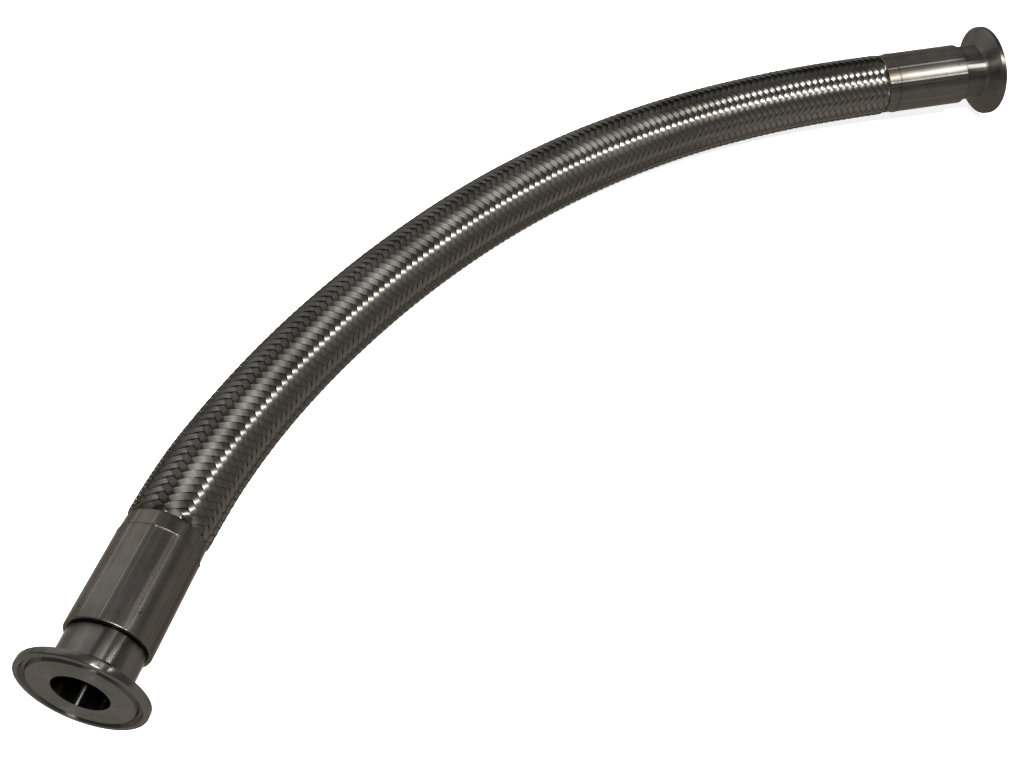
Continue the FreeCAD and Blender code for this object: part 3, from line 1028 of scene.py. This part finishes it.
def makeSleeve(end, values):
    turn = math.radians(values[end + "Turn"])
    pitch = 2 * math.pi / values["dies"]
    face, inward, left = endFrame(end)

    def placeAt(along, radius, angle):
        return face + inward * along + (left * math.cos(angle) + bowNormal * math.sin(angle)) * radius

    def fromRidge(angle):
        return abs((angle - turn + pitch / 2) % pitch - pitch / 2)

    def shaped(angle, share):
        off = fromRidge(angle)
        away = off * values["land"]
        # the softer side of a ridge lies the same way round the hose at both ends
        soft = ((angle - turn) % pitch < pitch / 2) == (end == "near")
        reach = values["softBlend"] if soft else values["steepBlend"]
        blend = min(max((away - values["ridgeWidth"] / 2) / reach + 0.5, 0), 1)
        blend = blend * blend * (3 - 2 * blend)
        middle = 1 - off / (pitch / 2)
        flat = values["dieFlat"] * (1 - middle * middle) * blend
        return (values["ridgeHeight"] * (1 - blend) - flat) * share

    def wornAt(angle):
        off = (fromRidge(angle) * values["land"] - values["ridgeWidth"] / 2) / values["wornReach"]
        return math.exp(-off * off)

    stations = sleeveProfile(values)
    piece = ringPiece(end + "_crimped_sleeve", stations, values["round"], placeAt, shaped, wornAt)
    piece.data.materials.append(sleeveMaterials[end])
    sharp = piece.modifiers.new("edges", "EDGE_SPLIT")
    sharp.split_angle = math.radians(50)
    return piece


sleevePieces = {end: makeSleeve(end, sleeve) for end in ("near", "far")}
print("sleeves ready")

# Ferrules: the CAD pieces stay, with their finish and slightly broken edges
brokenEdge = {"width": 0.00015, "angle": 30}


def finishFerrule(end, values):
    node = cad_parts[end + "_ferrule"]
    node.data.materials.clear()
    node.data.materials.append(ferruleMaterials[end])
    weld = node.modifiers.new("weld", "WELD")
    weld.merge_threshold = 1e-6
    edge = node.modifiers.new("edge", "BEVEL")
    edge.width = values["width"]
    edge.segments = 2
    edge.limit_method = "ANGLE"
    edge.angle_limit = math.radians(values["angle"])
    edge.harden_normals = True


for end in ("near", "far"):
    finishFerrule(end, brokenEdge)
print("ferrules ready")

# What rides and what it stands for
for piece in braidPieces:
    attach(piece, "root")
    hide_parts("wire_braid")
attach(corrugatedPiece, "root")
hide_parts("inner_hose")
for end, piece in sleevePieces.items():
    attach(piece, "root")
    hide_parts(end + "_sleeve")
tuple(linePoints[0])

# Floor, daylight and lamps
studio = {
    "floorReach": 6.0,
    "floorTone": (0.8, 0.8, 0.8, 1),
    "floorRoughness": 0.9,
    "floorGlow": 0.74,  # what the camera sees besides the lit colour: white, with the shadow kept
    "sky": (0.32, 0.33, 0.345, 1),
    "aim": (0, 0.05, 0.02),  # what the lamps face
    "lamps": {
        "ceilingLamp": {
            "ends": ((-0.376, -1.167, 2.24), (-0.156, -1.167, 2.24)),
            "width": 0.22,
            "power": 118.0,
        },
        "deskLamp": {
            "ends": ((0.124, -0.2, 0.375), (0.154, -0.2, 0.375)),
            "width": 0.03,
            "power": 0.45,
        },
        "windowLamp": {
            "ends": ((-0.75, 1.2, 0.7), (0.75, 1.2, 0.7)),
            "width": 1.5,
            "power": 8.4,
        },
    },
}


def makeFloor(values):
    mesh = bpy.data.meshes.new("floor")
    far = values["floorReach"]
    mesh.from_pydata([(-far, -far, 0), (far, -far, 0), (far, far, 0), (-far, far, 0)], [], [(0, 1, 2, 3)])
    floor = bpy.data.objects.new("floor", mesh)
    scene.collection.objects.link(floor)
    material, tree, shader = newMaterial("paleFloor")
    shader.inputs["Base Color"].default_value = values["floorTone"]
    shader.inputs["Roughness"].default_value = values["floorRoughness"]
    rays = place(tree, "ShaderNodeLightPath").outputs
    reflected = calc(tree, "MAXIMUM", rays["Is Glossy Ray"], rays["Is Transmission Ray"])
    glow = place(tree, "ShaderNodeEmission")
    feed(tree, glow.inputs["Strength"], calc(tree, "MULTIPLY", rays["Is Camera Ray"], values["floorGlow"]))
    lit = place(tree, "ShaderNodeAddShader")
    tree.links.new(shader.outputs[0], lit.inputs[0])
    tree.links.new(glow.outputs[0], lit.inputs[1])
    white = place(tree, "ShaderNodeEmission")
    blend = place(tree, "ShaderNodeMixShader")
    feed(tree, blend.inputs[0], reflected)
    tree.links.new(lit.outputs[0], blend.inputs[1])
    tree.links.new(white.outputs[0], blend.inputs[2])
    out = [node for node in tree.nodes if node.type == "OUTPUT_MATERIAL"][0]
    tree.links.new(blend.outputs[0], out.inputs["Surface"])
    mesh.materials.append(material)


# A rectangular lamp with its length between two points, turned to face the hose
def makeLamp(name, values, aim):
    first, second = (Vector(end) for end in values["ends"])
    middle = (first + second) / 2
    lengthwise = (second - first).normalized()
    away = (middle - Vector(aim)).normalized()
    across = away.cross(lengthwise).normalized()
    data = bpy.data.lights.new(name, "AREA")
    data.shape = "RECTANGLE"
    data.size = (second - first).length
    data.size_y = values["width"]
    data.energy = values["power"]
    lamp = bpy.data.objects.new(name, data)
    turn = Matrix((lengthwise, across, lengthwise.cross(across))).transposed().to_4x4()
    lamp.matrix_world = Matrix.Translation(middle) @ turn
    scene.collection.objects.link(lamp)


makeFloor(studio)
for name, values in studio["lamps"].items():
    makeLamp(name, values, studio["aim"])
world = bpy.data.worlds.new("studioSky")
world.use_nodes = True
world.node_tree.nodes["Background"].inputs["Color"].default_value = studio["sky"]
scene.world = world
scene.view_settings.view_transform = "Standard"
print("studio ready")
